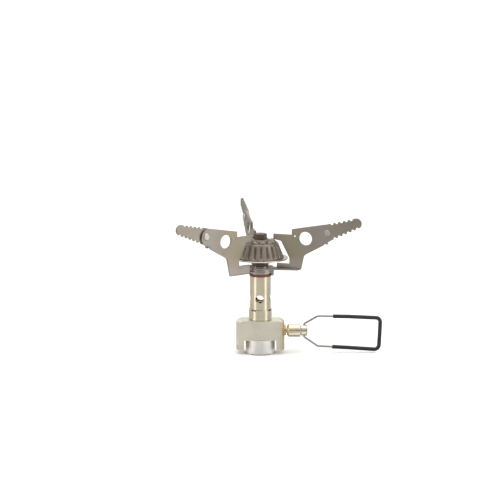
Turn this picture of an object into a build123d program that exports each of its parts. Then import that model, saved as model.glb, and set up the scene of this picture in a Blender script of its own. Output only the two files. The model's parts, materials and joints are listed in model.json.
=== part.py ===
from build123d import *
import math
import os

# Canister stove. All sizes are in millimetres.
# The origin is on the stove's axis, in the plane where the jaws of the valve body sit on
# the gas canister. +Z points up to the pot, and the valve knob points along +X.

RUNNING = 0.05  # radial clearance of a shaft that turns in a hole

# Valve body
BODY_R = 14.3
BODY_HALF_DEPTH = 6.85
BODY_TOP = 17.6
BODY_ROUND = 1.8
JAW_INNER_R = 11.7
JAW_HEIGHT = 6.0
GROOVE_Z = 4.2
GROOVE_DEPTH = 0.5

# Collar that screws onto the canister
COLLAR_R = 8.6
COLLAR_BOTTOM = -2.6
THREAD_R = 5.07
THREAD_TOP = 2.6
SEAL_SEAT_R = 4.7
SEAL_SEAT_TOP = 4.8
INLET_R = 3.9
COLLAR_SPIGOT_R = 5.9
COLLAR_SPIGOT_TOP = 7.0

# Valve, on a line parallel to X
VALVE_Z = 10.9
VALVE_AXIS = Axis((0, 0, VALVE_Z), (1, 0, 0))
SEAT_X = 0.7
SEAT_R = 1.8
ORIFICE_R = 0.45
CHAMBER_X = 1.9
CHAMBER_R = 2.2
GLAND_X = 10.6
GLAND_R = 3.0
GLAND_END_X = 15.2
SPINDLE_R = 1.5
SPINDLE_END_X = 21.0
SEAL_X = 8.0
SEAL_HALF_WIDTH = 0.5
SEAL_GROOVE_R = 1.1
LOCK_PIN_X = 12.6
LOCK_PIN_R = 0.6

# Knob and wire handle
KNOB_X = 15.7
KNOB_R = 3.95
KNOB_END_X = 23.7
BOSS_X = 24.2
BOSS_R = 3.35
BOSS_END_X = 27.75
HANDLE_X = 25.9
WIRE_R = 0.6
SLEEVE_R = 1.15

# Column: jet and mixing tube
RISER_BOTTOM = 14.6
RISER_THREAD_R = 2.5
RISER_FLANGE_R = 4.5
RISER_FLANGE_TOP = 18.8
RISER_TOP = 24.5
JET_SOCKET_Z = 22.5
JET_THREAD_R = 1.9
JET_TIP = 28.2
BASE_COLLAR_R = 6.8
BASE_COLLAR_TOP = 24.1
TUBE_R = 6.2
TUBE_BORE_R = 4.9
TUBE_FOOT_R = 5.6
TUBE_FOOT_Z = 19.2
TUBE_TOP = 43.9
AIR_HOLE_R = 2.45
AIR_HOLE_Z = 30.5
AIR_HOLE_AZIMUTH = -95.0
NOTCH_AZIMUTH = -37.0
SPIGOT_R = 3.9
SPIGOT_TOP = 49.35
SPIGOT_BORE_R = 2.9

# Pot supports: three plate legs, each with an eyelet at its own height
PLATE = 1.15
EYELET = 1.0
EYELET_R = 7.7
EYELET_PITCH = 1.1
FIRST_EYELET_Z = 46.1
LEG_OUTER_FACE = 2.2  # distance of the leg's outer face from the radial plane
LEG_GAP = 0.1
RIVET = (41.5, 71.7)
LEG_END = (39.8, 71.0)  # centre of the leg's round end
LEG_END_R = 5.2
TOP_EDGE_ANGLE = 10.8
STEP_R = 19.0  # where the low hook over the burner begins
HOOK_TOP = 69.0
HOOK_END = (7.6, 65.9)
WINDOW_TOP = (12.4, 65.0)  # corners of the opening that the burner stands in
WINDOW_SIDE = (17.55, 55.3)
WINDOW_BOTTOM = 51.7
STRIP_INNER_R = 9.8
KNEE_Z = 57.1
NOTCH = (38.6, 63.85)
LIGHTENING_HOLE = (27.45, 67.25)
LIGHTENING_HOLE_R = 4.0
RELIEF_HOLE = (20.8, 68.3)
RELIEF_HOLE_R = 0.6
BEND_R = 0.9
RIVET_R = 1.2

# Serrated extensions, which turn on the rivets
STOP_ANGLES = (234.5, 247.5)  # the stop tab, seen from the rivet
STOP_RADII = (6.35, 7.0)
STOP_TAB_AZIMUTH = -12.0  # tab of the lowest eyelet, bent down beside the tube
STOP_TAB_R = 7.35
STOP_TAB_BOTTOM = 44.3
STOP_TAB_SIZE = (0.9, 3.4)
EXTENSION_LENGTH = 18.3
EXTENSION_ROOT_R = 4.9
EXTENSION_TIP_R = 3.15
TOOTH_PITCH = 3.0
GULLET_R = 1.05
GULLET_OFFSET = 0.05
UPPER_GULLETS = (4.1, 5)  # first one's distance from the rivet, and how many
LOWER_GULLETS = (2.9, 6)

# Burner
NECK_HEX_AF = 8.0
NECK_HEX_Z = 49.75
NECK_SHOULDER_Z = 51.2
NECK_R = 3.6
NECK_TOP = 56.0
NECK_BORE_R = 2.1
RIM_R = 16.3
RIM_TOP = 54.8
CONE_R = 13.9
CONE_TOP_R = 10.3
CONE_TOP = 63.8
FLUTES = 20
FLUTE_PHASE = 1.5
FLUTE_WIDTH = 1.1
FLUTE_DEPTH = 1.0
CROWN_TOP = 65.6
LOBES = 10
LOBE_PHASE = 28.5
SCREW_HEX_AF = 6.6
SCREW_TOP = 68.9
SCREW_R = 1.25

os.makedirs("parts", exist_ok=True)


def half_section(points, plane=Plane.XZ):
    """A closed outline of (x, z) points in an upright plane, to be revolved."""
    with BuildSketch(plane) as sketch:
        with BuildLine():
            Polyline(*points, close=True)
        make_face()
    return sketch.sketch


def valve_section(points):
    """A closed outline of (x, radius) points beside the valve's axis."""
    return half_section([(x, VALVE_Z + radius) for x, radius in points])


def write(piece, label):
    """Names a finished piece and writes its file."""
    piece.part.label = label
    export_step(piece.part, f"parts/{label}.step")


# ---------------------------------------------------------------- valve body and inlet

with BuildPart() as valve_body:
    with BuildSketch():
        Circle(BODY_R)
    extrude(amount=BODY_TOP)
    fillet(valve_body.faces().sort_by(Axis.Z)[-1].edges(), BODY_ROUND)
    # two flat sides
    with BuildSketch():
        with Locations((0, BODY_HALF_DEPTH + BODY_R / 2), (0, -BODY_HALF_DEPTH - BODY_R / 2)):
            Rectangle(3 * BODY_R, BODY_R)
    extrude(amount=BODY_TOP, mode=Mode.SUBTRACT)
    # V groove round both ends, above the jaws
    revolve(
        half_section(
            [
                (BODY_R + 0.2, GROOVE_Z - GROOVE_DEPTH - 0.2),
                (BODY_R - GROOVE_DEPTH, GROOVE_Z),
                (BODY_R + 0.2, GROOVE_Z + GROOVE_DEPTH + 0.2),
            ]
        ),
        axis=Axis.Z,
        mode=Mode.SUBTRACT,
    )
    # hollow between the jaws, and the collar's socket
    with BuildSketch():
        Circle(JAW_INNER_R)
    extrude(amount=JAW_HEIGHT, mode=Mode.SUBTRACT)
    with BuildSketch():
        Circle(COLLAR_SPIGOT_R)
    extrude(amount=COLLAR_SPIGOT_TOP, mode=Mode.SUBTRACT)
    # valve chamber with the seat's socket and the gland's thread
    revolve(
        valve_section(
            [
                (SEAT_X, 0),
                (SEAT_X, 1.8),
                (CHAMBER_X, 1.8),
                (CHAMBER_X, CHAMBER_R),
                (GLAND_X, CHAMBER_R),
                (GLAND_X, GLAND_R),
                (BODY_R + 1, GLAND_R),
                (BODY_R + 1, 0),
            ]
        ),
        axis=VALVE_AXIS,
        mode=Mode.SUBTRACT,
    )
    # gas way in from the collar, and out to the jet riser's socket
    with BuildSketch(Plane.XY.offset(COLLAR_SPIGOT_TOP)):
        with Locations((3.2, 0)):
            Circle(0.7)
    extrude(amount=VALVE_Z - COLLAR_SPIGOT_TOP - 1, mode=Mode.SUBTRACT)
    with BuildSketch(Plane.XY.offset(VALVE_Z - 0.8)):
        Circle(0.8)
    extrude(amount=RISER_BOTTOM - VALVE_Z + 0.8, mode=Mode.SUBTRACT)
    with BuildSketch(Plane.XY.offset(RISER_BOTTOM)):
        Circle(RISER_THREAD_R)
    extrude(amount=BODY_TOP - RISER_BOTTOM, mode=Mode.SUBTRACT)
    # hole of the pin that locks the gland
    with BuildSketch(Plane.XY.offset(VALVE_Z + GLAND_R + 0.1)):
        with Locations((LOCK_PIN_X, 0)):
            Circle(LOCK_PIN_R)
    extrude(amount=BODY_TOP, mode=Mode.SUBTRACT)
write(valve_body, "valve_body")

with BuildPart() as threaded_collar:
    revolve(
        half_section(
            [
                (THREAD_R, COLLAR_BOTTOM),
                (COLLAR_R - 0.5, COLLAR_BOTTOM),
                (COLLAR_R, COLLAR_BOTTOM + 0.5),
                (COLLAR_R, JAW_HEIGHT),
                (COLLAR_SPIGOT_R, JAW_HEIGHT),
                (COLLAR_SPIGOT_R, COLLAR_SPIGOT_TOP),
                (INLET_R, COLLAR_SPIGOT_TOP),
                (INLET_R, SEAL_SEAT_TOP),
                (SEAL_SEAT_R, SEAL_SEAT_TOP),
                (SEAL_SEAT_R, THREAD_TOP),
                (THREAD_R, THREAD_TOP),
            ]
        ),
        axis=Axis.Z,
    )
write(threaded_collar, "threaded_collar")

with BuildPart() as inlet_o_ring:
    with BuildSketch(Plane.XZ):
        with Locations((SEAL_SEAT_R - 0.9, (THREAD_TOP + SEAL_SEAT_TOP) / 2)):
            Circle(0.88)
    revolve(axis=Axis.Z)
write(inlet_o_ring, "inlet_o_ring")

with BuildPart() as depressor_pin:
    with BuildSketch(Plane.XY.offset(SEAL_SEAT_TOP)):
        Circle(INLET_R)
        with PolarLocations(2.3, 4):
            Circle(0.7, mode=Mode.SUBTRACT)
    extrude(amount=0.8)
    with BuildSketch(Plane.XY.offset(SEAL_SEAT_TOP)):
        Circle(0.75)
    extrude(amount=THREAD_TOP + 0.2 - SEAL_SEAT_TOP)
write(depressor_pin, "depressor_pin")

with BuildPart() as inlet_filter:
    with BuildSketch(Plane.XY.offset(SEAL_SEAT_TOP + 0.8)):
        Circle(INLET_R)
    extrude(amount=0.7)
write(inlet_filter, "inlet_filter")

# ---------------------------------------------------------------- valve

with BuildPart() as valve_seat:
    revolve(
        valve_section(
            [
                (SEAT_X, ORIFICE_R),
                (SEAT_X, SEAT_R),
                (CHAMBER_X, SEAT_R),
                (CHAMBER_X, 2 * ORIFICE_R),
                (CHAMBER_X - 0.6, ORIFICE_R),
            ]
        ),
        axis=VALVE_AXIS,
    )
write(valve_seat, "valve_seat")

with BuildPart() as valve_spindle:
    revolve(
        valve_section(
            [
                (1.5, 0),
                (1.5, 0.4),
                (CHAMBER_X, 0.7),
                (4.4, SPINDLE_R),
                (SEAL_X - SEAL_HALF_WIDTH, SPINDLE_R),
                (SEAL_X - SEAL_HALF_WIDTH, SEAL_GROOVE_R),
                (SEAL_X + SEAL_HALF_WIDTH, SEAL_GROOVE_R),
                (SEAL_X + SEAL_HALF_WIDTH, SPINDLE_R),
                (SPINDLE_END_X, SPINDLE_R),
                (SPINDLE_END_X, 0),
            ]
        ),
        axis=VALVE_AXIS,
    )
write(valve_spindle, "valve_spindle")

with BuildPart() as spindle_o_ring:
    with BuildSketch(Plane.XZ):
        with Locations((SEAL_X, VALVE_Z + SEAL_GROOVE_R + SEAL_HALF_WIDTH)):
            Circle(SEAL_HALF_WIDTH - 0.03)
    revolve(axis=VALVE_AXIS)
write(spindle_o_ring, "spindle_o_ring")

with BuildPart() as gland_nut:
    revolve(
        valve_section(
            [
                (GLAND_X, SPINDLE_R + RUNNING),
                (GLAND_X, GLAND_R),
                (GLAND_END_X - 0.3, GLAND_R),
                (GLAND_END_X, GLAND_R - 0.3),
                (GLAND_END_X, SPINDLE_R + RUNNING),
            ]
        ),
        axis=VALVE_AXIS,
    )
write(gland_nut, "gland_nut")

with BuildPart() as gland_lock_pin:
    with BuildSketch(Plane.XY.offset(VALVE_Z + GLAND_R + 0.1)):
        with Locations((LOCK_PIN_X, 0)):
            Circle(LOCK_PIN_R)
    extrude(amount=BODY_TOP - VALVE_Z - GLAND_R - 0.1)
write(gland_lock_pin, "gland_lock_pin")

with BuildPart() as valve_knob:
    revolve(
        valve_section(
            [
                (KNOB_X, SPINDLE_R),
                (KNOB_X, 2.8),
                (KNOB_X + 1.15, KNOB_R),
                (KNOB_END_X - 0.25, KNOB_R),
                (KNOB_END_X, KNOB_R - 0.25),
                (KNOB_END_X, 2.7),
                (BOSS_X, 2.7),
                (BOSS_X, BOSS_R),
                (BOSS_END_X - 0.6, BOSS_R),
                (BOSS_END_X, BOSS_R - 0.6),
                (BOSS_END_X, 0),
                (SPINDLE_END_X, 0),
                (SPINDLE_END_X, SPINDLE_R),
            ]
        ),
        axis=VALVE_AXIS,
    )
    # cross hole for the ends of the wire
    with BuildSketch(Plane.XY.offset(VALVE_Z - BOSS_R - 1)):
        with Locations((HANDLE_X, 0)):
            Circle(WIRE_R + RUNNING)
    extrude(amount=2 * BOSS_R + 2, mode=Mode.SUBTRACT)
write(valve_knob, "valve_knob")

# Route of the wire, (x, z) in the plane y = 0, from its upper end round to its lower end,
# with the radius of the bend at each point between the ends.
WIRE_ROUTE = [
    ((HANDLE_X, 12.2), None),
    ((HANDLE_X, 14.9), 1.0),
    ((34.0, 19.5), 3.0),
    ((52.0, 19.15), 30.0),
    ((70.8, 18.3), 2.6),
    ((70.45, 8.5), 20.0),
    ((69.95, -0.75), 2.8),
    ((52.0, 0.45), 30.0),
    ((33.9, 1.45), 3.0),
    ((HANDLE_X, 6.9), 1.0),
    ((HANDLE_X, 9.6), None),
]
SLEEVE_START_X = 42.9
SLEEVE_END_X = 42.5


def bent_path(route):
    """Straight runs joined by tangent bends, in the plane y = 0."""
    with BuildLine() as line:
        FilletPolyline(*[(x, 0, z) for (x, z), _ in route], radius=[r for _, r in route if r])
    return line.line


def point_at(start, end, x):
    """The point of a straight run that has this x."""
    return (x, start[1] + (end[1] - start[1]) * (x - start[0]) / (end[0] - start[0]))


with BuildPart() as wire_handle:
    wire_path = bent_path(WIRE_ROUTE)
    with BuildSketch(Plane(origin=wire_path @ 0, z_dir=wire_path % 0)):
        Circle(WIRE_R)
    sweep(path=wire_path)
write(wire_handle, "wire_handle")

sleeve_route = (
    [(point_at(WIRE_ROUTE[2][0], WIRE_ROUTE[3][0], SLEEVE_START_X), None)]
    + WIRE_ROUTE[3:8]
    + [(point_at(WIRE_ROUTE[7][0], WIRE_ROUTE[8][0], SLEEVE_END_X), None)]
)

with BuildPart() as handle_sleeve:
    sleeve_path = bent_path(sleeve_route)
    with BuildSketch(Plane(origin=sleeve_path @ 0, z_dir=sleeve_path % 0)):
        Circle(SLEEVE_R)
        Circle(WIRE_R + 0.02, mode=Mode.SUBTRACT)
    sweep(path=sleeve_path)
write(handle_sleeve, "handle_sleeve")

# ---------------------------------------------------------------- column

with BuildPart() as jet_riser:
    revolve(
        half_section(
            [
                (1.0, RISER_BOTTOM),
                (RISER_THREAD_R, RISER_BOTTOM),
                (RISER_THREAD_R, BODY_TOP),
                (RISER_FLANGE_R, BODY_TOP),
                (RISER_FLANGE_R, RISER_FLANGE_TOP),
                (2.9, RISER_FLANGE_TOP),
                (2.9, RISER_TOP),
                (JET_THREAD_R, RISER_TOP),
                (JET_THREAD_R, JET_SOCKET_Z),
                (1.0, JET_SOCKET_Z),
            ]
        ),
        axis=Axis.Z,
    )
write(jet_riser, "jet_riser")

with BuildPart() as jet:
    with BuildSketch(Plane.XY.offset(JET_SOCKET_Z)):
        Circle(JET_THREAD_R)
    extrude(amount=RISER_TOP - JET_SOCKET_Z)
    with BuildSketch(Plane.XY.offset(RISER_TOP)):
        RegularPolygon(2.5, 6, major_radius=False)
    extrude(amount=2.5)
    with BuildSketch(Plane.XY.offset(RISER_TOP + 2.5)):
        Circle(2.3)
    extrude(amount=JET_TIP - RISER_TOP - 2.5, taper=40)
    with BuildSketch(Plane.XY.offset(JET_SOCKET_Z)):
        Circle(0.9)
    extrude(amount=JET_TIP - JET_SOCKET_Z - 0.8, mode=Mode.SUBTRACT)
    with BuildSketch(Plane.XY.offset(JET_SOCKET_Z)):
        Circle(0.2)
    extrude(amount=JET_TIP - JET_SOCKET_Z + 1, mode=Mode.SUBTRACT)
write(jet, "jet")

with BuildPart() as base_collar:
    revolve(
        half_section(
            [
                (RISER_FLANGE_R, BODY_TOP),
                (BASE_COLLAR_R - 0.3, BODY_TOP),
                (BASE_COLLAR_R, BODY_TOP + 0.3),
                (BASE_COLLAR_R, BASE_COLLAR_TOP - 0.25),
                (BASE_COLLAR_R - 0.25, BASE_COLLAR_TOP),
                (TUBE_FOOT_R, BASE_COLLAR_TOP),
                (TUBE_FOOT_R, TUBE_FOOT_Z),
                (RISER_FLANGE_R, TUBE_FOOT_Z),
            ]
        ),
        axis=Axis.Z,
    )
    # spanner notches in the upper edge
    with BuildSketch(Plane.XY.offset(BASE_COLLAR_TOP - 0.8)):
        with PolarLocations(BASE_COLLAR_R, 4, start_angle=NOTCH_AZIMUTH):
            Rectangle(2 * (BASE_COLLAR_R - TUBE_FOOT_R), 3.2)
    extrude(amount=1, mode=Mode.SUBTRACT)
write(base_collar, "base_collar")

with BuildPart() as mixing_tube:
    revolve(
        half_section(
            [
                (TUBE_BORE_R, TUBE_FOOT_Z),
                (TUBE_FOOT_R, TUBE_FOOT_Z),
                (TUBE_FOOT_R, BASE_COLLAR_TOP),
                (TUBE_R, BASE_COLLAR_TOP),
                (TUBE_R, TUBE_TOP - 0.2),
                (TUBE_R - 0.2, TUBE_TOP),
                (SPIGOT_R, TUBE_TOP),
                (SPIGOT_R, SPIGOT_TOP),
                (SPIGOT_BORE_R, SPIGOT_TOP),
                (SPIGOT_BORE_R, TUBE_TOP - 1.5),
                (TUBE_BORE_R, TUBE_TOP - 4.5),
            ]
        ),
        axis=Axis.Z,
    )
    for quarter in range(4):
        outward = Vector(1, 0, 0).rotate(Axis.Z, AIR_HOLE_AZIMUTH + 90 * quarter)
        with BuildSketch(Plane(origin=(0, 0, AIR_HOLE_Z), z_dir=outward)):
            Circle(AIR_HOLE_R)
        extrude(amount=TUBE_R + 1, mode=Mode.SUBTRACT)
write(mixing_tube, "mixing_tube")

with BuildPart() as friction_washer:
    with BuildSketch(Plane.XY.offset(TUBE_TOP)):
        Circle(6.6)
        Circle(SPIGOT_R + RUNNING, mode=Mode.SUBTRACT)
    extrude(amount=1.6)
    fillet(friction_washer.edges().filter_by(GeomType.CIRCLE).group_by(SortBy.RADIUS)[-1], 0.35)
write(friction_washer, "friction_washer")

with BuildPart() as spring_washer:
    with BuildSketch(Plane.XY.offset(TUBE_TOP + 1.6)):
        Circle(6.3)
        Circle(SPIGOT_R + RUNNING, mode=Mode.SUBTRACT)
    extrude(amount=FIRST_EYELET_Z - TUBE_TOP - 1.6 - 0.05)
write(spring_washer, "spring_washer")

with BuildPart() as top_washer:
    with BuildSketch(Plane.XY.offset(SPIGOT_TOP)):
        Circle(5.4)
        Circle(SPIGOT_BORE_R, mode=Mode.SUBTRACT)
    extrude(amount=NECK_HEX_Z - SPIGOT_TOP)
write(top_washer, "top_washer")

# ---------------------------------------------------------------- pot supports


def leg_planes(azimuth):
    """A leg's directions, radial and sideways, and planes, upright and level, with x along the radius."""
    radial = Vector(1, 0, 0).rotate(Axis.Z, azimuth)
    side = Vector(0, 1, 0).rotate(Axis.Z, azimuth)
    upright = Plane(origin=(0, 0, 0), x_dir=radial, z_dir=side * -1)
    level = Plane(origin=(0, 0, 0), x_dir=radial, z_dir=(0, 0, 1))
    return radial, side, upright, level


def around(centre, radius, angle):
    """The (x, y) point at this distance and angle from a centre."""
    turn = math.radians(angle)
    return (centre[0] + radius * math.cos(turn), centre[1] + radius * math.sin(turn))


def outer_edge(z):
    """Radius of the leg's slanted outer edge at a height."""
    return 26.1 + 0.21 * (z - 55.5)


def make_support(azimuth, bottom):
    radial, side, upright, level = leg_planes(azimuth)
    top_tangent = around(LEG_END, LEG_END_R, 90 + TOP_EDGE_ANGLE)
    step_z = top_tangent[1] - (top_tangent[0] - STEP_R) * math.tan(math.radians(TOP_EDGE_ANGLE))
    corner = (outer_edge(bottom), bottom)
    knee = (outer_edge(KNEE_Z), KNEE_Z)
    with BuildPart() as support:
        # upright plate, bent round the burner
        with BuildSketch(upright.offset(-LEG_OUTER_FACE)) as plate:
            with BuildLine():
                Polyline(
                    (STRIP_INNER_R, bottom),
                    corner,
                    knee,
                    NOTCH,
                    RIVET,
                    top_tangent,
                    (STEP_R, step_z),
                    (STEP_R, HOOK_TOP),
                    (HOOK_END[0], HOOK_TOP),
                    HOOK_END,
                    WINDOW_TOP,
                    WINDOW_SIDE,
                    (WINDOW_SIDE[0], WINDOW_BOTTOM),
                    (STRIP_INNER_R, WINDOW_BOTTOM),
                    close=True,
                )
            make_face()
            fillet(plate.vertices().sort_by_distance((*corner, 0))[0], 1.3)
            fillet(plate.vertices().sort_by_distance((*knee, 0))[0], 3.0)
            with Locations(LEG_END):
                Circle(LEG_END_R)
            with Locations(RIVET):
                Circle(RIVET_R, mode=Mode.SUBTRACT)
            with Locations(LIGHTENING_HOLE):
                Circle(LIGHTENING_HOLE_R, mode=Mode.SUBTRACT)
            with Locations(RELIEF_HOLE):
                Circle(RELIEF_HOLE_R, mode=Mode.SUBTRACT)
        extrude(amount=PLATE)
        # level foot with the eyelet
        with BuildSketch(level.offset(bottom)):
            Circle(EYELET_R)
            with BuildLine():
                Polyline(
                    (0, LEG_OUTER_FACE),
                    (corner[0] - 1.4, LEG_OUTER_FACE),
                    (corner[0] - 1.4, -0.6),
                    (10.5, -3.6),
                    (4.0, -6.1),
                    (0, -6.1),
                    close=True,
                )
            make_face()
            Circle(SPIGOT_R + RUNNING, mode=Mode.SUBTRACT)
        extrude(amount=EYELET)
        # rounded outside of the bend between foot and plate
        with BuildSketch(Plane(origin=radial * 8.0, x_dir=side, z_dir=radial)):
            with Locations((LEG_OUTER_FACE, bottom)):
                Rectangle(2 * BEND_R, 2 * BEND_R)
            with Locations((LEG_OUTER_FACE - BEND_R, bottom + BEND_R)):
                Circle(BEND_R, mode=Mode.SUBTRACT)
            with Locations((LEG_OUTER_FACE - 1.5 * BEND_R, bottom - BEND_R)):
                Rectangle(BEND_R, 3 * BEND_R, mode=Mode.SUBTRACT)
        extrude(amount=corner[0] - 8.0, mode=Mode.SUBTRACT)
    return support


def stop_tab(bottom):
    """A tab of the lowest eyelet, bent down beside the tube."""
    outward = Vector(1, 0, 0).rotate(Axis.Z, STOP_TAB_AZIMUTH)
    place = outward * STOP_TAB_R + Vector(0, 0, STOP_TAB_BOTTOM)
    low = Plane(origin=place, x_dir=outward, z_dir=(0, 0, 1))
    with BuildPart() as tab:
        with BuildSketch(low):
            Rectangle(*STOP_TAB_SIZE)
        extrude(amount=bottom + EYELET - STOP_TAB_BOTTOM)
    return tab.part


def make_rivet(azimuth):
    _, _, upright, _ = leg_planes(azimuth)
    inner_face = LEG_OUTER_FACE - 2 * PLATE - LEG_GAP - RUNNING
    pin_axis = Axis((0, 0, 0), upright.z_dir)
    with BuildPart() as rivet:
        with BuildSketch(upright.offset(-LEG_OUTER_FACE)):
            with Locations(RIVET):
                Circle(2.3)
        extrude(amount=-0.8)
        fillet(rivet.edges().group_by(pin_axis)[0], 0.7)
        with BuildSketch(upright.offset(-LEG_OUTER_FACE)):
            with Locations(RIVET):
                Circle(RIVET_R)
        extrude(amount=LEG_OUTER_FACE - inner_face)
        with BuildSketch(upright.offset(-inner_face)):
            with Locations(RIVET):
                Circle(1.8)
        extrude(amount=0.45)
        fillet(rivet.edges().group_by(pin_axis)[-1], 0.3)
    return rivet


def make_extension(azimuth, slope):
    _, _, upright, _ = leg_planes(azimuth)
    outer_face = upright.offset(-(LEG_OUTER_FACE - PLATE - LEG_GAP))
    # own plane: x runs from the rivet to the tip
    blade = Plane(
        origin=outer_face.from_local_coords(RIVET + (0,)),
        x_dir=outer_face.x_dir.rotate(Axis((0, 0, 0), outer_face.z_dir), slope),
        z_dir=outer_face.z_dir,
    )
    taper = (EXTENSION_ROOT_R - EXTENSION_TIP_R) / EXTENSION_LENGTH
    inner_r, outer_r = STOP_RADII
    start, end = STOP_ANGLES
    stop_corners = [
        around((0, 0), radius, angle)
        for radius, angle in ((inner_r, start), (outer_r, start), (outer_r, end), (inner_r, end))
    ]

    with BuildPart() as extension:
        with BuildSketch(blade):
            Circle(EXTENSION_ROOT_R)
            with Locations((EXTENSION_LENGTH, 0)):
                Circle(EXTENSION_TIP_R)
            with BuildLine():
                Polyline(
                    (0, EXTENSION_ROOT_R),
                    (EXTENSION_LENGTH, EXTENSION_TIP_R),
                    (EXTENSION_LENGTH, -EXTENSION_TIP_R),
                    (0, -EXTENSION_ROOT_R),
                    close=True,
                )
            make_face()
            with BuildLine():
                Polyline((0, 0), stop_corners[1], stop_corners[2], close=True)
            make_face()
            Circle(RIVET_R + RUNNING, mode=Mode.SUBTRACT)
            # gullets between the teeth, staggered on the two edges
            for side, (first, number) in ((1, UPPER_GULLETS), (-1, LOWER_GULLETS)):
                for gullet in range(number):
                    along = first + TOOTH_PITCH * gullet
                    edge = EXTENSION_ROOT_R - taper * along + GULLET_OFFSET
                    with Locations((along, side * edge)):
                        Circle(GULLET_R, mode=Mode.SUBTRACT)
        extrude(amount=PLATE)
        # stop tab, bent across the leg's notch
        with BuildSketch(blade):
            with BuildLine():
                Polyline(*stop_corners, close=True)
            make_face()
        extrude(amount=-PLATE - LEG_GAP)
    return extension


# azimuth, place in the stack of eyelets and slope of the extension
LEGS = {"left": (218.5, 0, 17.2), "rear": (100.0, 1, 18.5), "right": (-20.0, 2, 20.0)}

for leg_name, (leg_azimuth, level_number, slope) in LEGS.items():
    foot = FIRST_EYELET_Z + EYELET_PITCH * level_number
    support = make_support(leg_azimuth, foot)
    if level_number == 0:
        with support:
            add(stop_tab(foot))
    write(support, f"{leg_name}_support")
    write(make_rivet(leg_azimuth), f"{leg_name}_rivet")
    write(make_extension(leg_azimuth, slope), f"{leg_name}_extension")

# ---------------------------------------------------------------- burner

with BuildPart() as burner_neck:
    with BuildSketch(Plane.XY.offset(SPIGOT_TOP - 3.2)):
        Circle(SPIGOT_BORE_R)
    extrude(amount=NECK_HEX_Z - SPIGOT_TOP + 3.2)
    with BuildSketch(Plane.XY.offset(NECK_HEX_Z)):
        RegularPolygon(NECK_HEX_AF / 2, 6, major_radius=False)
    extrude(amount=NECK_SHOULDER_Z - NECK_HEX_Z)
    with BuildSketch(Plane.XY.offset(NECK_SHOULDER_Z)):
        Circle(NECK_R)
    extrude(amount=NECK_TOP - NECK_SHOULDER_Z)
    # bore, side ports and the screw's hole
    with BuildSketch(Plane.XY.offset(SPIGOT_TOP - 3.2)):
        Circle(NECK_BORE_R)
    extrude(amount=NECK_TOP - 1.5 - SPIGOT_TOP + 3.2, mode=Mode.SUBTRACT)
    with BuildSketch(Plane.XY.offset(NECK_TOP - 2)):
        Circle(SCREW_R)
    extrude(amount=3, mode=Mode.SUBTRACT)
    for port in range(3):
        across = Vector(1, 0, 0).rotate(Axis.Z, 60 * port)
        with BuildSketch(Plane(origin=(0, 0, NECK_SHOULDER_Z + 1.9), z_dir=across)):
            Circle(0.8)
        extrude(amount=NECK_R + 1, both=True, mode=Mode.SUBTRACT)
write(burner_neck, "burner_neck")

with BuildPart() as burner_dish:
    revolve(
        half_section(
            [
                (NECK_R, NECK_SHOULDER_Z),
                (5.0, NECK_SHOULDER_Z),
                (RIM_R - 1.6, RIM_TOP - 0.7),
                (RIM_R - 0.2, RIM_TOP - 0.7),
                (RIM_R, RIM_TOP - 0.5),
                (RIM_R, RIM_TOP - 0.2),
                (RIM_R - 0.2, RIM_TOP),
                (CONE_R - 1.4, RIM_TOP),
                (5.0, NECK_SHOULDER_Z + 0.7),
                (NECK_R, NECK_SHOULDER_Z + 0.7),
            ]
        ),
        axis=Axis.Z,
    )
write(burner_dish, "burner_dish")

with BuildPart() as burner_baffle:
    with BuildSketch(Plane.XY.offset(NECK_TOP)):
        Circle(8.5)
        Circle(SCREW_R, mode=Mode.SUBTRACT)
        with PolarLocations(6.8, 16):
            Circle(0.6, mode=Mode.SUBTRACT)
    extrude(amount=0.5)
write(burner_baffle, "burner_baffle")

CONE_SLOPE = (CONE_R - CONE_TOP_R) / (CONE_TOP - RIM_TOP)

with BuildPart() as burner_cone:
    revolve(
        half_section(
            [
                (CONE_R, RIM_TOP),
                (CONE_TOP_R, CONE_TOP),
                (8.0, CONE_TOP),
                (8.0, CONE_TOP - 0.8),
                (CONE_TOP_R - 1.2, CONE_TOP - 0.8),
                (CONE_R - 1.6, RIM_TOP),
            ]
        ),
        axis=Axis.Z,
    )
    # flutes down the slanted wall, open at the top edge
    for flute in range(FLUTES):
        azimuth = FLUTE_PHASE + 360 / FLUTES * flute
        outward = Vector(1, 0, 0).rotate(Axis.Z, azimuth)
        across = Vector(0, 1, 0).rotate(Axis.Z, azimuth)
        low = RIM_TOP + 0.7
        with BuildSketch(Plane(origin=(0, 0, 0), x_dir=outward, z_dir=across * -1)):
            with BuildLine():
                Polyline(
                    (CONE_R - CONE_SLOPE * (low - RIM_TOP) - FLUTE_DEPTH + 0.3, low),
                    (CONE_R + 1, low),
                    (CONE_R + 1, CONE_TOP + 1),
                    (CONE_TOP_R - FLUTE_DEPTH, CONE_TOP + 1),
                    (CONE_TOP_R - FLUTE_DEPTH, CONE_TOP),
                    close=True,
                )
            make_face()
        extrude(amount=FLUTE_WIDTH / 2, both=True, mode=Mode.SUBTRACT)
write(burner_cone, "burner_cone")

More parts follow.
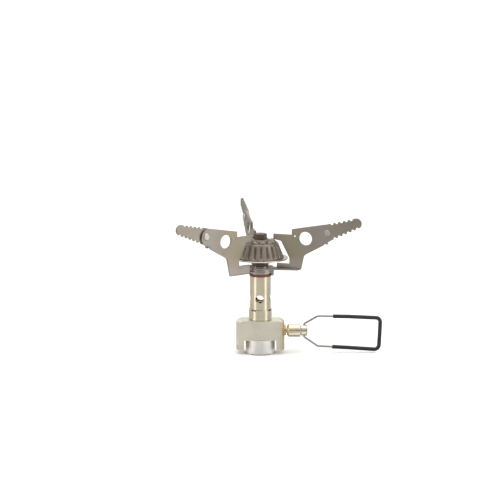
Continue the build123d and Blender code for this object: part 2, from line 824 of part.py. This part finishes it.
with BuildPart() as burner_crown:
    revolve(
        half_section(
            [
                (SCREW_R, CONE_TOP - 0.8),
                (8.0, CONE_TOP - 0.8),
                (8.0, CONE_TOP),
                (8.4, CONE_TOP),
                (8.4, CONE_TOP + 0.8),
                (7.0, CONE_TOP + 1.2),
                (5.2, CROWN_TOP),
                (SCREW_R, CROWN_TOP),
            ]
        ),
        axis=Axis.Z,
    )
    # lobes in line with every second rib of the cone
    with BuildSketch(Plane.XY.offset(CONE_TOP)):
        with PolarLocations(7.9, LOBES, start_angle=LOBE_PHASE):
            Circle(1.5)
    extrude(amount=1.0)
    # flame ports between the lobes
    with BuildSketch(Plane.XY.offset(CONE_TOP - 1)):
        with PolarLocations(6.6, LOBES, start_angle=LOBE_PHASE + 180 / LOBES):
            Rectangle(1.9, 0.7)
    extrude(amount=4, mode=Mode.SUBTRACT)
write(burner_crown, "burner_crown")

with BuildPart() as cap_screw:
    with BuildSketch(Plane.XY.offset(CROWN_TOP)):
        RegularPolygon(SCREW_HEX_AF / 2, 6, major_radius=False, rotation=2)
    extrude(amount=SCREW_TOP - CROWN_TOP)
    # corners of the hexagon turned off at the top
    revolve(
        half_section(
            [
                (SCREW_HEX_AF / 2, SCREW_TOP + 0.1),
                (SCREW_HEX_AF / 2, SCREW_TOP),
                (SCREW_HEX_AF, SCREW_TOP - 1.5),
                (SCREW_HEX_AF, SCREW_TOP + 0.1),
            ]
        ),
        axis=Axis.Z,
        mode=Mode.SUBTRACT,
    )
    with BuildSketch(Plane.XY.offset(NECK_TOP - 1.4)):
        Circle(SCREW_R)
    extrude(amount=CROWN_TOP - NECK_TOP + 1.4)
write(cap_screw, "cap_screw")
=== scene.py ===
import json
import math

import bmesh
import bpy
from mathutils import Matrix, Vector


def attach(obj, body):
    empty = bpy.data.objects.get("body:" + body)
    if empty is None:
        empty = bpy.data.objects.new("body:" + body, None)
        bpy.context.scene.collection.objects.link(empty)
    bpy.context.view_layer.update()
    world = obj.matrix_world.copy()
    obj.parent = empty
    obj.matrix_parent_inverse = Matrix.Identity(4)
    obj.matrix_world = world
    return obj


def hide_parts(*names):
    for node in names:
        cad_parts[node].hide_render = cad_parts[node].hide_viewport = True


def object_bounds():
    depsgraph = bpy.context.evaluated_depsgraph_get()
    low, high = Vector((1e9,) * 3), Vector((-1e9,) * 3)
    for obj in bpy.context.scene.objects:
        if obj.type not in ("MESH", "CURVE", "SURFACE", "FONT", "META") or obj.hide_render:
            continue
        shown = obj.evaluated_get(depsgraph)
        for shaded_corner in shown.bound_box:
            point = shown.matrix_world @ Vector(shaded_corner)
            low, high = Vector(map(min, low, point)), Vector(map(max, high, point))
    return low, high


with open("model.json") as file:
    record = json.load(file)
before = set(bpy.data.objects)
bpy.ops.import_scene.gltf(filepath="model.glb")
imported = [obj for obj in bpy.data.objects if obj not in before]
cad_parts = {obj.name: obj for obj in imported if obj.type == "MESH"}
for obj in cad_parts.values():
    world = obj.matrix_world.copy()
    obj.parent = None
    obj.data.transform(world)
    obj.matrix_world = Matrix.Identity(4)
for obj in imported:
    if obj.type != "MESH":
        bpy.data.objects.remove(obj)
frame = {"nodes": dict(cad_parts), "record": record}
cad_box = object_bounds()

MM = 0.001

# Settings of the occlusion that finds hollows for painted shade: between all pieces, or within one
ALL_HOLLOWS = {"samples": 6}
OWN_HOLLOWS = {"samples": 6, "only_local": True}

# Studio: brightness of the surroundings, to the camera and as metal reflects them
SKY = 1.2
FLOOR_TO_CAMERA = 0.88
FLOOR_IN_METAL = 0.42
ROOM_IN_METAL = 0.30
CARD_IN_METAL = 0.95
CARD_ANGLES = (48.0, 70.0)  # where the white cards begin and end, in degrees from the front
CARD_BLUR = 5.0
CEILING_IN_METAL = 0.9
BACK_IN_METAL = 0.5

# Camera: where it aims, and from how far and how high
CAMERA_AIM = Vector((-11.98, 0.0, 64.97)) * MM
CAMERA_DISTANCE = 1504.6 * MM
CAMERA_ELEVATION = 10.12
CAMERA_LENS = 192.4
SENSOR_WIDTH = 36.0


# ---------------------------------------------------------------- shader graphs


class Graph:
    """The node tree of one material, around a Principled BSDF."""

    def __init__(self, name):
        self.material = bpy.data.materials.new(name)
        self.material.use_nodes = True
        self.tree = self.material.node_tree
        self.shader = self.tree.nodes["Principled BSDF"]

    def node(self, kind, settings=None, **inputs):
        """A new node. Inputs are numbers, colours or other nodes' output sockets."""
        made = self.tree.nodes.new("ShaderNode" + kind)
        for key, value in (settings or {}).items():
            setattr(made, key, value)
        for key, value in inputs.items():
            self.put(made.inputs[key.replace("_", " ")], value)
        return made

    def put(self, socket, value):
        if isinstance(value, bpy.types.NodeSocket):
            self.tree.links.new(value, socket)
        else:
            socket.default_value = value

    def set(self, **inputs):
        for key, value in inputs.items():
            self.put(self.shader.inputs[key.replace("_", " ")], value)

    def math(self, operation, a, b=0.0, clamp=False):
        made = self.node("Math", {"operation": operation, "use_clamp": clamp})
        self.put(made.inputs[0], a)
        self.put(made.inputs[1], b)
        return made.outputs[0]

    def blend(self, share, a, b):
        """Colour a where share is 0 and colour b where it is 1."""
        made = self.node("Mix", {"data_type": "RGBA", "clamp_factor": True})
        self.put(made.inputs[0], share)
        self.put(made.inputs[6], a)
        self.put(made.inputs[7], b)
        return made.outputs[2]

    def touch(self, shade, mask, amount, colour):
        """The shade, turned by an amount towards a colour where the mask is 1."""
        return self.blend(self.math("MULTIPLY", mask, amount), shade, rgba(colour))

    def ramp(self, value, stops):
        """Colours or greys along a value: stops are (place, colour or grey)."""
        made = self.node("ValToRGB", Fac=value)
        elements = made.color_ramp.elements
        while len(elements) < len(stops):
            elements.new(0.5)
        for element, (place, colour) in zip(elements, stops):
            element.position = place
            element.color = rgba(colour)
        return made.outputs["Color"]

    def spread(self, value, low, high, to_low=0.0, to_high=1.0):
        made = self.node("MapRange", {"clamp": True}, Value=value)
        for index, number in enumerate((low, high, to_low, to_high), start=1):
            made.inputs[index].default_value = number
        return made.outputs["Result"]

    def place(self, scale=(1, 1, 1), offset=(0, 0, 0)):
        """The piece's own coordinates, in millimetres times scale."""
        made = self.node("Mapping", Vector=self.node("TexCoord").outputs["Object"])
        made.inputs["Scale"].default_value = [s / MM for s in scale]
        made.inputs["Location"].default_value = offset
        return made.outputs["Vector"]

    def noise(self, scale=(1, 1, 1), detail=3.0, roughness=0.5, offset=(0, 0, 0)):
        """Noise with scale features per millimetre along each axis."""
        where = self.place(scale, offset)
        made = self.node("TexNoise", Vector=where, Scale=1.0, Detail=detail, Roughness=roughness)
        return made.outputs["Fac"]

    def hollow(self, distance, settings):
        """1 on open surfaces, less in hollows and corners within a distance in millimetres."""
        return self.node("AmbientOcclusion", settings, Distance=distance * MM).outputs["AO"]

    def rounded(self, radius):
        """Normals that look rounded at every edge, and how near an edge a point is."""
        normal = self.node("Bevel", {"samples": 4}, Radius=radius * MM).outputs["Normal"]
        flat = self.node("NewGeometry").outputs["Normal"]
        dot = self.node("VectorMath", {"operation": "DOT_PRODUCT"})
        self.put(dot.inputs[0], normal)
        self.put(dot.inputs[1], flat)
        return normal, self.math("SUBTRACT", 1.0, dot.outputs["Value"], clamp=True)

    def bump(self, height, depth, strength=1.0, normal=None):
        """depth is the height's full range, in millimetres."""
        made = self.node("Bump", Height=height, Distance=depth * MM, Strength=strength)
        if normal is not None:
            self.put(made.inputs["Normal"], normal)
        return made.outputs["Normal"]


def rgba(colour):
    if isinstance(colour, (int, float)):
        return (colour, colour, colour, 1.0)
    return (*colour[:3], 1.0)


def scaled(colour, factor):
    return tuple(min(1.0, channel * factor) for channel in colour)


# ---------------------------------------------------------------- materials


def turned_metal(name, colour, roughness, axis, anisotropy, marks):
    """Lathe-turned metal: fine rings about an axis, faint stains, bright worn edges and painted shade in the
    corners.
    marks is the depth of the rings, in millimetres."""
    edge, stain = 0.15, 0.12
    g = Graph(name)
    fine, coarse = 9.0, 0.35
    stretch = [coarse, coarse, coarse]
    stretch["XYZ".index(axis)] = fine
    rings = g.noise(stretch, detail=4.0, roughness=0.65)
    cloud = g.noise((0.22, 0.22, 0.16), detail=5.0, roughness=0.6, offset=(3.1, 7.7, 1.9))
    normal, near = g.rounded(edge)
    worn = g.spread(near, 0.01, 0.25)
    stained, clean = scaled(colour, 1.0 - stain), scaled(colour, 1.0 + stain / 2)
    shade = g.ramp(cloud, [(0.30, stained), (0.52, colour), (0.75, clean)])
    shade = g.touch(shade, g.spread(rings, 0.3, 0.75), 0.22, scaled(colour, 0.72))
    shade = g.touch(shade, worn, 0.5, scaled(colour, 1.3))
    # painted shade: darker in corners and hollows and where pieces meet
    shaded_corner = g.hollow(1.2, ALL_HOLLOWS)
    shade = g.touch(shade, g.spread(shaded_corner, 0.7, 0.3), 0.6, scaled(colour, 0.2))
    smears = g.spread(cloud, 0.3, 0.7, roughness - 0.04, roughness + 0.05)
    rough = g.math("ADD", smears, g.spread(rings, 0.3, 0.7, -0.03, 0.04))
    g.set(Base_Color=shade, Metallic=1.0, Roughness=rough, Anisotropic=anisotropy)
    g.set(Normal=g.bump(rings, marks, 0.6, normal))
    tangent = g.node("Tangent", {"direction_type": "RADIAL", "axis": axis})
    g.set(Tangent=tangent.outputs["Tangent"])
    return g.material


def blasted_metal(name, colour, roughness, reflection_colour, reflection_from, reflection_to):
    """Satin-blasted and anodised metal: very fine matt grain, soft stains and bright edges.
    The painted reflection of the brass gland comes in along X between two places, in millimetres."""
    edge, grain = 0.2, 0.010
    g = Graph(name)
    sand = g.noise((7.0, 7.0, 7.0), detail=2.0, roughness=0.7)
    mill = g.noise((0.12, 0.12, 3.2), detail=3.0, roughness=0.6, offset=(1.0, 2.0, 9.0))
    cloud = g.noise((0.10, 0.10, 0.14), detail=5.0, roughness=0.55, offset=(5.0, 1.0, 4.0))
    normal, near = g.rounded(edge)
    worn = g.spread(near, 0.01, 0.25)
    shade = g.ramp(cloud, [(0.32, scaled(colour, 0.90)), (0.5, colour), (0.7, scaled(colour, 1.06))])
    shade = g.touch(shade, g.spread(sand, 0.35, 0.7), 0.16, scaled(colour, 0.80))
    shade = g.touch(shade, g.spread(mill, 0.4, 0.7), 0.12, scaled(colour, 0.86))
    along = g.node("SeparateXYZ", Vector=g.place()).outputs["X"]
    # painted reflection: gold of the brass gland, coming in along X towards the knob end
    shade = g.blend(g.spread(along, reflection_from, reflection_to, 0.0, 0.75), shade, rgba(reflection_colour))
    shade = g.touch(shade, worn, 0.55, scaled(colour, 1.28))
    smears = g.spread(cloud, 0.3, 0.7, roughness - 0.03, roughness + 0.04)
    rough = g.math("ADD", smears, g.spread(sand, 0.3, 0.7, -0.03, 0.04))
    g.set(Base_Color=shade, Metallic=1.0, Roughness=rough)
    height = g.math("ADD", sand, g.math("MULTIPLY", mill, 0.8))
    g.set(Normal=g.bump(height, grain, 0.5, normal))
    return g.material


def titanium():
    """Stamped titanium sheet: rolling grain, straw and violet heat tints, dull patches, sheared edges."""
    g = Graph("titanium")
    plain = (0.32, 0.285, 0.235)
    straw = (0.33, 0.29, 0.215)
    violet = (0.35, 0.31, 0.29)
    grain = g.noise((0.35, 0.35, 6.0), detail=4.0, roughness=0.6)
    speckle = g.noise((4.0, 4.0, 4.0), detail=3.0, roughness=0.7, offset=(8.0, 0.0, 2.0))
    cloud = g.noise((0.11, 0.11, 0.13), detail=5.0, roughness=0.6, offset=(2.0, 6.0, 0.0))
    # distance from the burner, disturbed by the cloud
    centre = g.node("VectorMath", {"operation": "DISTANCE"})
    g.put(centre.inputs[0], g.place())
    centre.inputs[1].default_value = (0.0, 0.0, 60.0)
    reach = g.math("ADD", centre.outputs["Value"], g.spread(cloud, 0.3, 0.7, -5.0, 5.0))
    shade = g.ramp(
        g.spread(reach, 10.0, 60.0),
        [
            (0.0, violet),
            (0.10, straw),
            (0.28, straw),
            (0.42, plain),
            (0.62, violet),
            (0.80, plain),
            (1.0, scaled(plain, 0.95)),
        ],
    )
    height = g.node("SeparateXYZ", Vector=g.place()).outputs["Z"]
    low = g.spread(g.math("ADD", height, g.spread(cloud, 0.3, 0.7, -2.0, 2.0)), 56.0, 49.0)
    shade = g.blend(low, shade, rgba(scaled(violet, 1.14)))
    shade = g.touch(shade, g.spread(grain, 0.35, 0.75), 0.35, scaled(plain, 0.78))
    shade = g.touch(shade, g.spread(speckle, 0.55, 0.8), 0.35, scaled(plain, 0.65))
    normal, near = g.rounded(0.16)
    worn = g.spread(near, 0.01, 0.3)
    shade = g.touch(shade, worn, 0.45, scaled(plain, 1.45))
    rough = g.math("ADD", g.spread(cloud, 0.3, 0.7, 0.33, 0.43), g.spread(grain, 0.3, 0.7, -0.05, 0.05))
    g.set(Base_Color=shade, Metallic=1.0, Roughness=rough)
    bumps = g.math("ADD", grain, g.math("MULTIPLY", speckle, 0.6))
    g.set(Normal=g.bump(bumps, 0.010, 0.6, normal))
    return g.material


def burner_steel():
    """Heat-darkened stainless steel: brown oxide and painted shade in the grooves, paler rubbed ribs."""
    g = Graph("burner_steel")
    pale = (0.305, 0.26, 0.215)
    brown = (0.085, 0.060, 0.042)
    streak = g.noise((0.9, 0.9, 0.25), detail=5.0, roughness=0.7)
    speckle = g.noise((5.0, 5.0, 5.0), detail=3.0, roughness=0.7, offset=(1.0, 4.0, 2.0))
    cloud = g.noise((0.16, 0.16, 0.16), detail=4.0, roughness=0.6)
    hollow = g.hollow(1.4, OWN_HOLLOWS)
    mottle = g.math("ADD", g.math("MULTIPLY", cloud, 0.6), g.math("MULTIPLY", streak, 0.4))
    shade = g.ramp(mottle, [(0.36, scaled(pale, 0.72)), (0.62, pale)])
    # brown oxide and painted shade: the grooves go dark brown where the occlusion finds hollows
    shade = g.blend(g.spread(hollow, 0.90, 0.50), shade, rgba(brown))
    shade = g.touch(shade, g.spread(speckle, 0.5, 0.8), 0.4, brown)
    normal, near = g.rounded(0.18)
    shade = g.touch(shade, g.spread(near, 0.02, 0.3), 0.3, scaled(pale, 1.25))
    rough = g.math("ADD", g.spread(streak, 0.3, 0.7, 0.46, 0.58), g.spread(speckle, 0.3, 0.8, -0.03, 0.06))
    g.set(Base_Color=shade, Metallic=1.0, Roughness=rough)
    g.set(Normal=g.bump(g.math("ADD", speckle, streak), 0.014, 0.6, normal))
    return g.material


def bright_steel(name, colour, roughness, corner_shade=0.3):
    """Pressed or machined bright steel: fine scratches, finger marks and painted brownish shade in the
    corners.
    """
    g = Graph(name)
    scratch = g.noise((0.6, 0.6, 12.0), detail=4.0, roughness=0.7)
    smear = g.noise((0.3, 0.3, 0.3), detail=5.0, roughness=0.6, offset=(4.0, 4.0, 1.0))
    shaded_corner = g.hollow(1.0, OWN_HOLLOWS)
    normal, near = g.rounded(0.12)
    shade = g.ramp(smear, [(0.3, scaled(colour, 0.84)), (0.6, colour)])
    shade = g.touch(shade, g.spread(scratch, 0.5, 0.8), 0.3, scaled(colour, 0.75))
    # painted shade: brownish dark in corners and hollows
    shade = g.touch(shade, g.spread(shaded_corner, 0.9, 0.4), corner_shade, (0.12, 0.09, 0.06))
    shade = g.touch(shade, g.spread(near, 0.02, 0.3), 0.4, scaled(colour, 1.25))
    smears = g.spread(smear, 0.3, 0.7, roughness - 0.04, roughness + 0.06)
    rough = g.math("ADD", smears, g.spread(scratch, 0.4, 0.8, 0.0, 0.06))
    g.set(Base_Color=shade, Metallic=1.0, Roughness=rough, Normal=g.bump(scratch, 0.005, 0.5, normal))
    return g.material


def red_fibre():
    """Red-brown vulcanised fibre, slightly fuzzy."""
    g = Graph("red_fibre")
    fibre = g.noise((1.2, 1.2, 7.0), detail=5.0, roughness=0.7)
    patch = g.noise((0.5, 0.5, 0.5), detail=3.0)
    dark, red, worn = (0.085, 0.020, 0.011), (0.17, 0.048, 0.026), (0.25, 0.085, 0.05)
    shade = g.ramp(fibre, [(0.3, dark), (0.6, red), (0.8, worn)])
    shade = g.touch(shade, patch, 0.35, (0.10, 0.03, 0.02))
    normal, _ = g.rounded(0.2)
    g.set(Base_Color=shade, Roughness=g.spread(fibre, 0.3, 0.7, 0.45, 0.7))
    g.set(Normal=g.bump(fibre, 0.03, 0.7, normal))
    return g.material


def black_sleeving():
    """Satin black heat-shrink sleeving: slight ripples, dust and scuffs."""
    g = Graph("black_sleeving")
    ripple = g.noise((0.5, 0.5, 0.5), detail=3.0, roughness=0.5)
    fine = g.noise((5.0, 5.0, 5.0), detail=4.0, roughness=0.7, offset=(2.0, 0.0, 5.0))
    black, scuffed, dust = (0.006, 0.006, 0.007), (0.016, 0.016, 0.017), (0.05, 0.05, 0.05)
    shade = g.ramp(fine, [(0.35, black), (0.7, scuffed), (0.85, dust)])
    g.set(Base_Color=shade, Roughness=g.spread(ripple, 0.3, 0.7, 0.36, 0.52), Specular_IOR_Level=0.45)
    g.set(Normal=g.bump(g.math("ADD", ripple, g.math("MULTIPLY", fine, 0.15)), 0.12, 0.5))
    return g.material


def seal_rubber():
    """Matt black nitrile rubber with a trace of grease."""
    g = Graph("seal_rubber")
    fine = g.noise((3.0, 3.0, 3.0), detail=4.0)
    g.set(Base_Color=g.ramp(fine, [(0.3, 0.008), (0.7, 0.022)]))
    g.set(Roughness=g.spread(fine, 0.3, 0.7, 0.35, 0.6))
    g.set(Normal=g.bump(fine, 0.02, 0.5))
    return g.material


def plain_floor():
    """A pale floor to the camera. Glossy rays see it darker, as under a black flag, with a white card
    on each side of the front, so that the metal has contrast."""
    g = Graph("floor")
    glossy = g.node("LightPath").outputs["Is Glossy Ray"]
    where = g.node("SeparateXYZ", Vector=g.place()).outputs
    turn = g.math("ABSOLUTE", g.math("ARCTAN2", where["X"], g.math("MULTIPLY", where["Y"], -1.0)))
    near, far = (math.radians(angle) for angle in CARD_ANGLES)
    blur = math.radians(CARD_BLUR)
    begun = g.spread(turn, near - blur, near + blur)
    ending = g.spread(turn, far + blur, far - blur)
    seen = g.blend(g.math("MULTIPLY", begun, ending), rgba(FLOOR_IN_METAL), rgba(CARD_IN_METAL))
    g.set(Base_Color=g.blend(glossy, rgba(FLOOR_TO_CAMERA), seen), Roughness=0.9)
    return g.material


# ---------------------------------------------------------------- meshes


def make_object(name, vertices, faces, body, material):
    """A mesh piece that rides on a body."""
    mesh = bpy.data.meshes.new(name)
    mesh.from_pydata([Vector(v) * MM for v in vertices], [], faces)
    tidy = bmesh.new()
    tidy.from_mesh(mesh)
    bmesh.ops.remove_doubles(tidy, verts=tidy.verts, dist=1e-7)
    bmesh.ops.recalc_face_normals(tidy, faces=tidy.faces)
    tidy.to_mesh(mesh)
    tidy.free()
    for polygon in mesh.polygons:
        polygon.use_smooth = True
    made = bpy.data.objects.new(name, mesh)
    bpy.context.scene.collection.objects.link(made)
    mesh.materials.append(material)
    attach(made, body)
    return made


def revolved(name, points, shape, body, material):
    """A closed skin round Z. shape turns one of the points and an angle into a radius and a height."""
    steps = 400
    count = len(points)
    vertices = []
    for step in range(steps):
        angle = 2 * math.pi * step / steps
        for point in points:
            radius, height = shape(point, angle)
            vertices.append((radius * math.cos(angle), radius * math.sin(angle), height))
    faces = []
    for step in range(steps):
        this, following = step * count, (step + 1) % steps * count
        for index in range(count):
            nearby = (index + 1) % count
            faces.append((this + index, this + nearby, following + nearby, following + index))
    return make_object(name, vertices, faces, body, material)


def wave(angle, number, phase, sharpness):
    """1 at each of a number of places round the circle and 0 half way between them."""
    return (0.5 + 0.5 * math.cos(number * (angle - math.radians(phase)))) ** sharpness


# Burner: number of flutes and lobes, and where the first one is
FLUTES, FLUTE_PHASE, FLUTE_DEPTH = 20, 1.5, 1.0
LOBES, LOBE_PHASE = 10, 28.5
RIM_Z, CONE_TOP_Z, CROWN_TOP_Z = 54.8, 63.8, 65.6
CONE_R, CONE_TOP_R = 13.9, 10.3


def fluted_cone(material):
    """The burner's wall: soft grooves between broad rounded ribs, with a rolled lip."""

    def wall(z, groove, inset=0.0):
        """A point of the slanted outside: its radius, height and share of the grooves' depth."""
        share = (z - RIM_Z) / (CONE_TOP_Z - RIM_Z)
        return (CONE_R + (CONE_TOP_R - CONE_R) * share - inset, z, groove)

    # up the outside: the grooves begin, run at full depth and fade out below a plain lip
    points = [wall(RIM_Z, 0.0, 0.1), wall(55.1, 0.0), wall(55.4, 0.15), wall(55.7, 0.6), wall(56.1, 0.95)]
    points += [wall(56.6 + 0.8 * k, 1.0) for k in range(6)]
    points += [wall(61.2, 0.95), wall(61.8, 0.75), wall(62.3, 0.4), wall(62.8, 0.1), wall(63.2, 0.0)]
    points += [wall(63.5, 0.0, 0.1), wall(63.7, 0.0, 0.3), wall(CONE_TOP_Z, 0.0, 0.6)]
    # over the top and down the inside, as (radius, height) without grooves
    inside = [(8.2, CONE_TOP_Z), (8.0, 63.7), (8.0, 63.0), (9.1, 63.0), (12.3, RIM_Z)]
    points += [(radius, z, 0.0) for radius, z in inside]

    def shape(point, angle):
        radius, z, groove = point
        return radius - FLUTE_DEPTH * groove * wave(angle, FLUTES, FLUTE_PHASE, 3.0), z

    cone = revolved("fluted_cone", points, shape, "stove", material)
    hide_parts("burner_cone")
    return cone


def lobed_crown(material):
    """The burner's top plate: rounded lobes over every second rib, with dark gaps between them."""
    hub_r, edge_r, gap_z, lobe_height, steps = 5.0, 9.35, 63.65, 1.75, 14
    top_z = CROWN_TOP_Z - 0.05
    # the hub, then the lobed part, whose height depends on the angle, then the underside
    points = [(1.3, 63.0, 0.0), (1.3, top_z, 0.0), (hub_r - 0.4, top_z, 0.0), (hub_r, 65.2, 0.0)]
    points += [(hub_r + (edge_r - hub_r) * k / steps, None, k / steps) for k in range(1, steps + 1)]
    points += [(edge_r, 63.3, 1.0), (8.0, 63.0, 0.0)]

    def shape(point, angle):
        radius, z, out = point
        lobe = wave(angle, LOBES, LOBE_PHASE, 0.9)
        radius -= 0.7 * out * (1.0 - lobe)
        if z is None:
            dome = math.sqrt(max(0.0, 1.0 - (1.8 * out - 0.95) ** 2))
            z = gap_z + max(1.5 * (1.0 - 4.0 * out), lobe_height * math.sqrt(lobe) * dome, 0.0)
        return radius, min(z, top_z)

    crown = revolved("lobed_crown", points, shape, "stove", material)
    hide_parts("burner_crown")
    return crown


# ---------------------------------------------------------------- finishes of the pieces

TUBE_GOLD = (0.70, 0.63, 0.475)
BODY_CHAMPAGNE = (0.84, 0.80, 0.675)
# painted reflection of the brass gland on the knob end of the body
BODY_GLAND_REFLECTION = (0.62, 0.44, 0.22)
COLLAR_ALLOY = (0.94, 0.92, 0.86)
DEEP_BRASS = (0.66, 0.47, 0.22)
BRASS = (0.78, 0.70, 0.53)
STEEL = (0.60, 0.57, 0.53)

materials = {
    "body_alloy": blasted_metal("body_alloy", BODY_CHAMPAGNE, 0.40, BODY_GLAND_REFLECTION, reflection_from=11.0, reflection_to=14.3),
    "collar_alloy": turned_metal("collar_alloy", COLLAR_ALLOY, 0.45, "Z", anisotropy=0.6, marks=0.002),
    "tube_alloy": turned_metal("tube_alloy", TUBE_GOLD, 0.15, "Z", anisotropy=0.2, marks=0.0015),
    "brass": turned_metal("brass", DEEP_BRASS, 0.22, "Z", anisotropy=0.3, marks=0.006),
    "polished_brass": turned_metal("polished_brass", BRASS, 0.12, "X", anisotropy=0.3, marks=0.0015),
    "steel": bright_steel("steel", STEEL, 0.24),
    "rivet_steel": bright_steel("rivet_steel", (0.55, 0.51, 0.46), 0.30),
    "titanium": titanium(),
    "burner_steel": burner_steel(),
    "bright_steel": bright_steel("bright_steel", (0.66, 0.62, 0.57), 0.22, corner_shade=0.25),
    "red_washer": red_fibre(),
    "black_sleeve": black_sleeving(),
    "seal_rubber": seal_rubber(),
}

# pieces with a finish of their own, within their record slot: heat-darkened steel for the cap screw and the
# burner neck, also painted dark for the shade under the burner dish, and drawn wire for the handle
# heat-darkened steel whose dark is also painted shade under the burner dish
heated_and_shaded_steel = bright_steel("heated_and_shaded_steel", (0.15, 0.11, 0.085), 0.26, corner_shade=0.6)
own_finish = {
    "cap_screw": heated_and_shaded_steel,
    "burner_neck": heated_and_shaded_steel,
    "wire_handle": bright_steel("wire_steel", (0.36, 0.35, 0.34), 0.28),
}

for subpart in frame["record"]["subparts"]:
    node = frame["nodes"][subpart["node"]]
    node.data.materials.clear()
    node.data.materials.append(own_finish.get(subpart["node"], materials[subpart["material_slot"]]))

fluted_cone(materials["burner_steel"])
lobed_crown(materials["burner_steel"])

# ---------------------------------------------------------------- stage


def add_light(name, place, aim, size, power, colour=(1.0, 1.0, 1.0)):
    """A soft rectangular lamp: place and aim in metres, size is (width, height)."""
    lamp = bpy.data.lights.new(name, "AREA")
    lamp.shape = "RECTANGLE"
    lamp.size, lamp.size_y = size
    lamp.energy = power
    lamp.color = colour
    made = bpy.data.objects.new(name, lamp)
    bpy.context.scene.collection.objects.link(made)
    made.location = place
    made.rotation_mode = "QUATERNION"
    made.rotation_quaternion = (Vector(aim) - Vector(place)).to_track_quat("-Z", "Y")
    return made


def build_stage():
    low, _ = cad_box
    mesh = bpy.data.meshes.new("floor")
    half = 6.0
    corners = [(-half, -half, 0), (half, -half, 0), (half, half, 0), (-half, half, 0)]
    mesh.from_pydata(corners, [], [(0, 1, 2, 3)])
    floor = bpy.data.objects.new("floor", mesh)
    floor.location.z = low.z
    mesh.materials.append(plain_floor())
    bpy.context.scene.collection.objects.link(floor)

    middle = (0.0, 0.0, 0.04)
    add_light("left_softbox", (-0.49, -0.26, 0.22), middle, (0.24, 0.50), 0.85)
    add_light("right_softbox", (0.49, -0.26, 0.22), middle, (0.24, 0.50), 0.85)
    add_light("top_softbox", (0.0, -0.1, 0.9), middle, (0.9, 0.7), 2.5)


def build_world():
    """Even white light, which metal reflects as a room with a dim front and a bright ceiling and back."""
    world = bpy.data.worlds.new("studio")
    world.use_nodes = True
    tree = world.node_tree
    even = tree.nodes["Background"]
    even.inputs["Color"].default_value = (1.0, 0.995, 0.98, 1.0)
    even.inputs["Strength"].default_value = SKY

    def new(kind, **settings):
        made = tree.nodes.new("ShaderNode" + kind)
        for key, value in settings.items():
            setattr(made, key, value)
        return made

    def ranged(socket, low, high, top):
        made = new("MapRange", interpolation_type="SMOOTHSTEP")
        tree.links.new(socket, made.inputs["Value"])
        for key, value in {"From Min": low, "From Max": high, "To Min": 0.0, "To Max": top}.items():
            made.inputs[key].default_value = value
        return made.outputs["Result"]

    direction = new("SeparateXYZ")
    tree.links.new(new("TexCoord").outputs["Generated"], direction.inputs["Vector"])
    ceiling = ranged(direction.outputs["Z"], 0.05, 0.8, CEILING_IN_METAL)
    back = ranged(direction.outputs["Y"], -0.1, 0.9, BACK_IN_METAL)
    both = new("Math", operation="ADD")
    tree.links.new(ceiling, both.inputs[0])
    tree.links.new(back, both.inputs[1])
    room = new("Math", operation="ADD")
    tree.links.new(both.outputs[0], room.inputs[0])
    room.inputs[1].default_value = ROOM_IN_METAL
    studio = new("Background")
    tree.links.new(room.outputs[0], studio.inputs["Strength"])
    mixed = new("MixShader")
    tree.links.new(new("LightPath").outputs["Is Glossy Ray"], mixed.inputs["Fac"])
    tree.links.new(even.outputs[0], mixed.inputs[1])
    tree.links.new(studio.outputs[0], mixed.inputs[2])
    tree.links.new(mixed.outputs[0], tree.nodes["World Output"].inputs["Surface"])
    bpy.context.scene.world = world


def build_camera():
    lens = bpy.data.cameras.new("camera")
    lens.lens = CAMERA_LENS
    lens.sensor_width = SENSOR_WIDTH
    lens.clip_start, lens.clip_end = 0.05, 30.0
    camera = bpy.data.objects.new("camera", lens)
    bpy.context.scene.collection.objects.link(camera)
    tilt = math.radians(CAMERA_ELEVATION)
    back = Vector((0.0, -math.cos(tilt), math.sin(tilt)))
    camera.location = CAMERA_AIM + back * CAMERA_DISTANCE
    camera.rotation_euler = (math.pi / 2 - tilt, 0.0, 0.0)
    bpy.context.scene.camera = camera


build_stage()
build_world()
build_camera()
bpy.context.scene.view_settings.view_transform = "Standard"
